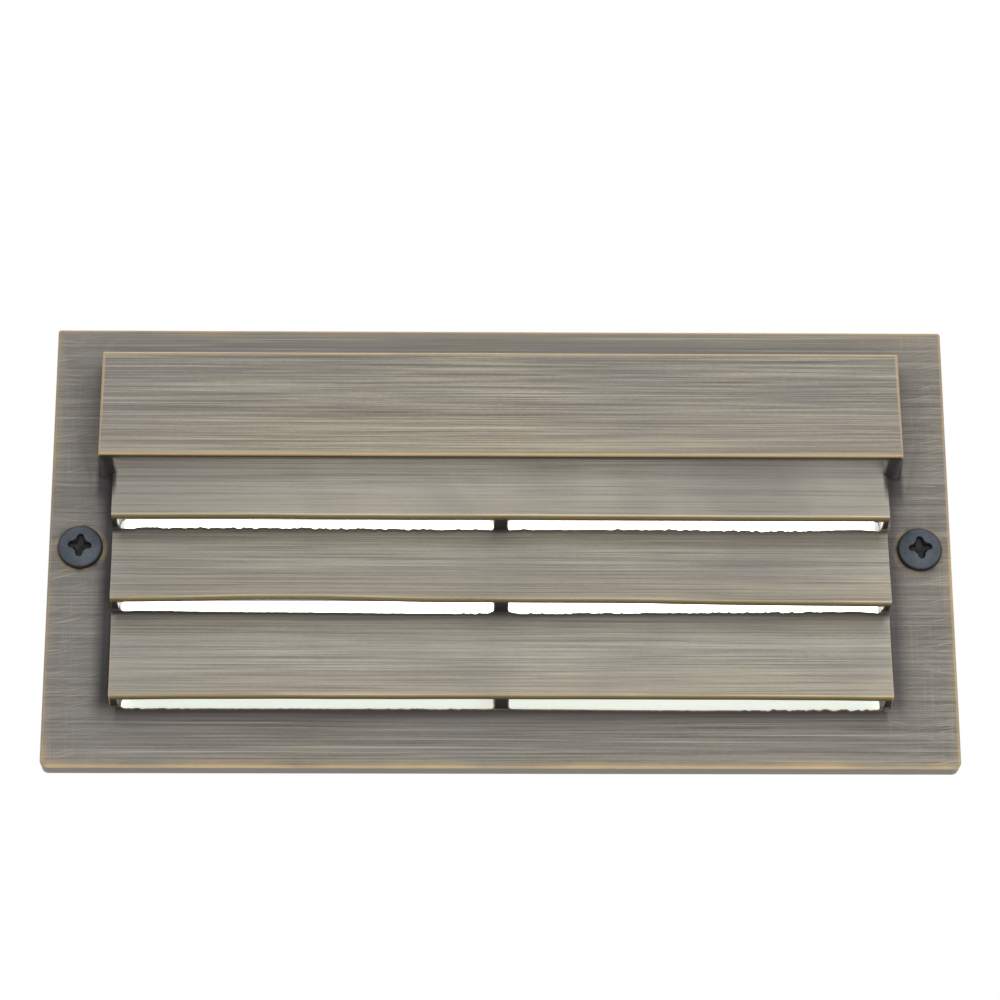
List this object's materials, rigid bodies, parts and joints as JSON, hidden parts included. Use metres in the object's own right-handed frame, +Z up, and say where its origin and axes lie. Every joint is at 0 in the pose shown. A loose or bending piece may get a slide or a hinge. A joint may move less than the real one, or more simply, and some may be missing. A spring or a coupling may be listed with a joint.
{
  "type": "recessed louvred step light",
  "caption": "Wide recessed step light: cast louvred faceplate with a hood, frosted lens and a housing that sits in the wall.",
  "frame": {"origin": "middle of the faceplate's back face, on the plane of the finished wall", "axes": "+X to the right of someone facing the light, +Y into the wall, +Z up"},
  "size_m": [0.235, 0.0839, 0.121],
  "materials": {
    "antique_brass": "brushed antique finish, worn to the metal at the edges",
    "black_oxide": "blackened, satin",
    "seal_rubber": "matt black",
    "frosted_glass": "frosted on the back",
    "grey_casting": "fine textured grey paint",
    "plain_brass": "machined",
    "white_enamel": "white gloss enamel",
    "mill_aluminium": "rolled, dull",
    "thermal_rubber": "soft grey-blue pad",
    "white_board": "white solder resist on an aluminium board",
    "lamp_resin": "yellow phosphor resin",
    "zinc_steel": "zinc plated",
    "black_plastic": "matt black",
    "pale_plastic": "off-white",
    "green_steel": "green passivated"
  },
  "bodies": {
    "root": {"faceplate": "antique_brass", "face_screws": "black_oxide", "face_gasket": "seal_rubber", "lens": "frosted_glass", "lens_seal": "seal_rubber", "housing": "grey_casting", "screw_inserts": "plain_brass", "entry_plug": "grey_casting", "reflector": "white_enamel", "heat_spreader": "mill_aluminium", "thermal_pad": "thermal_rubber", "lamp_board": "white_board", "lamps": "lamp_resin", "board_screws": "zinc_steel", "spreader_screws": "zinc_steel", "lead_grommet": "seal_rubber", "driver": "black_plastic", "driver_screws": "zinc_steel", "terminal_block": "pale_plastic", "terminal_screws": "zinc_steel", "ground_screw": "green_steel"}
  },
  "joints": []
}
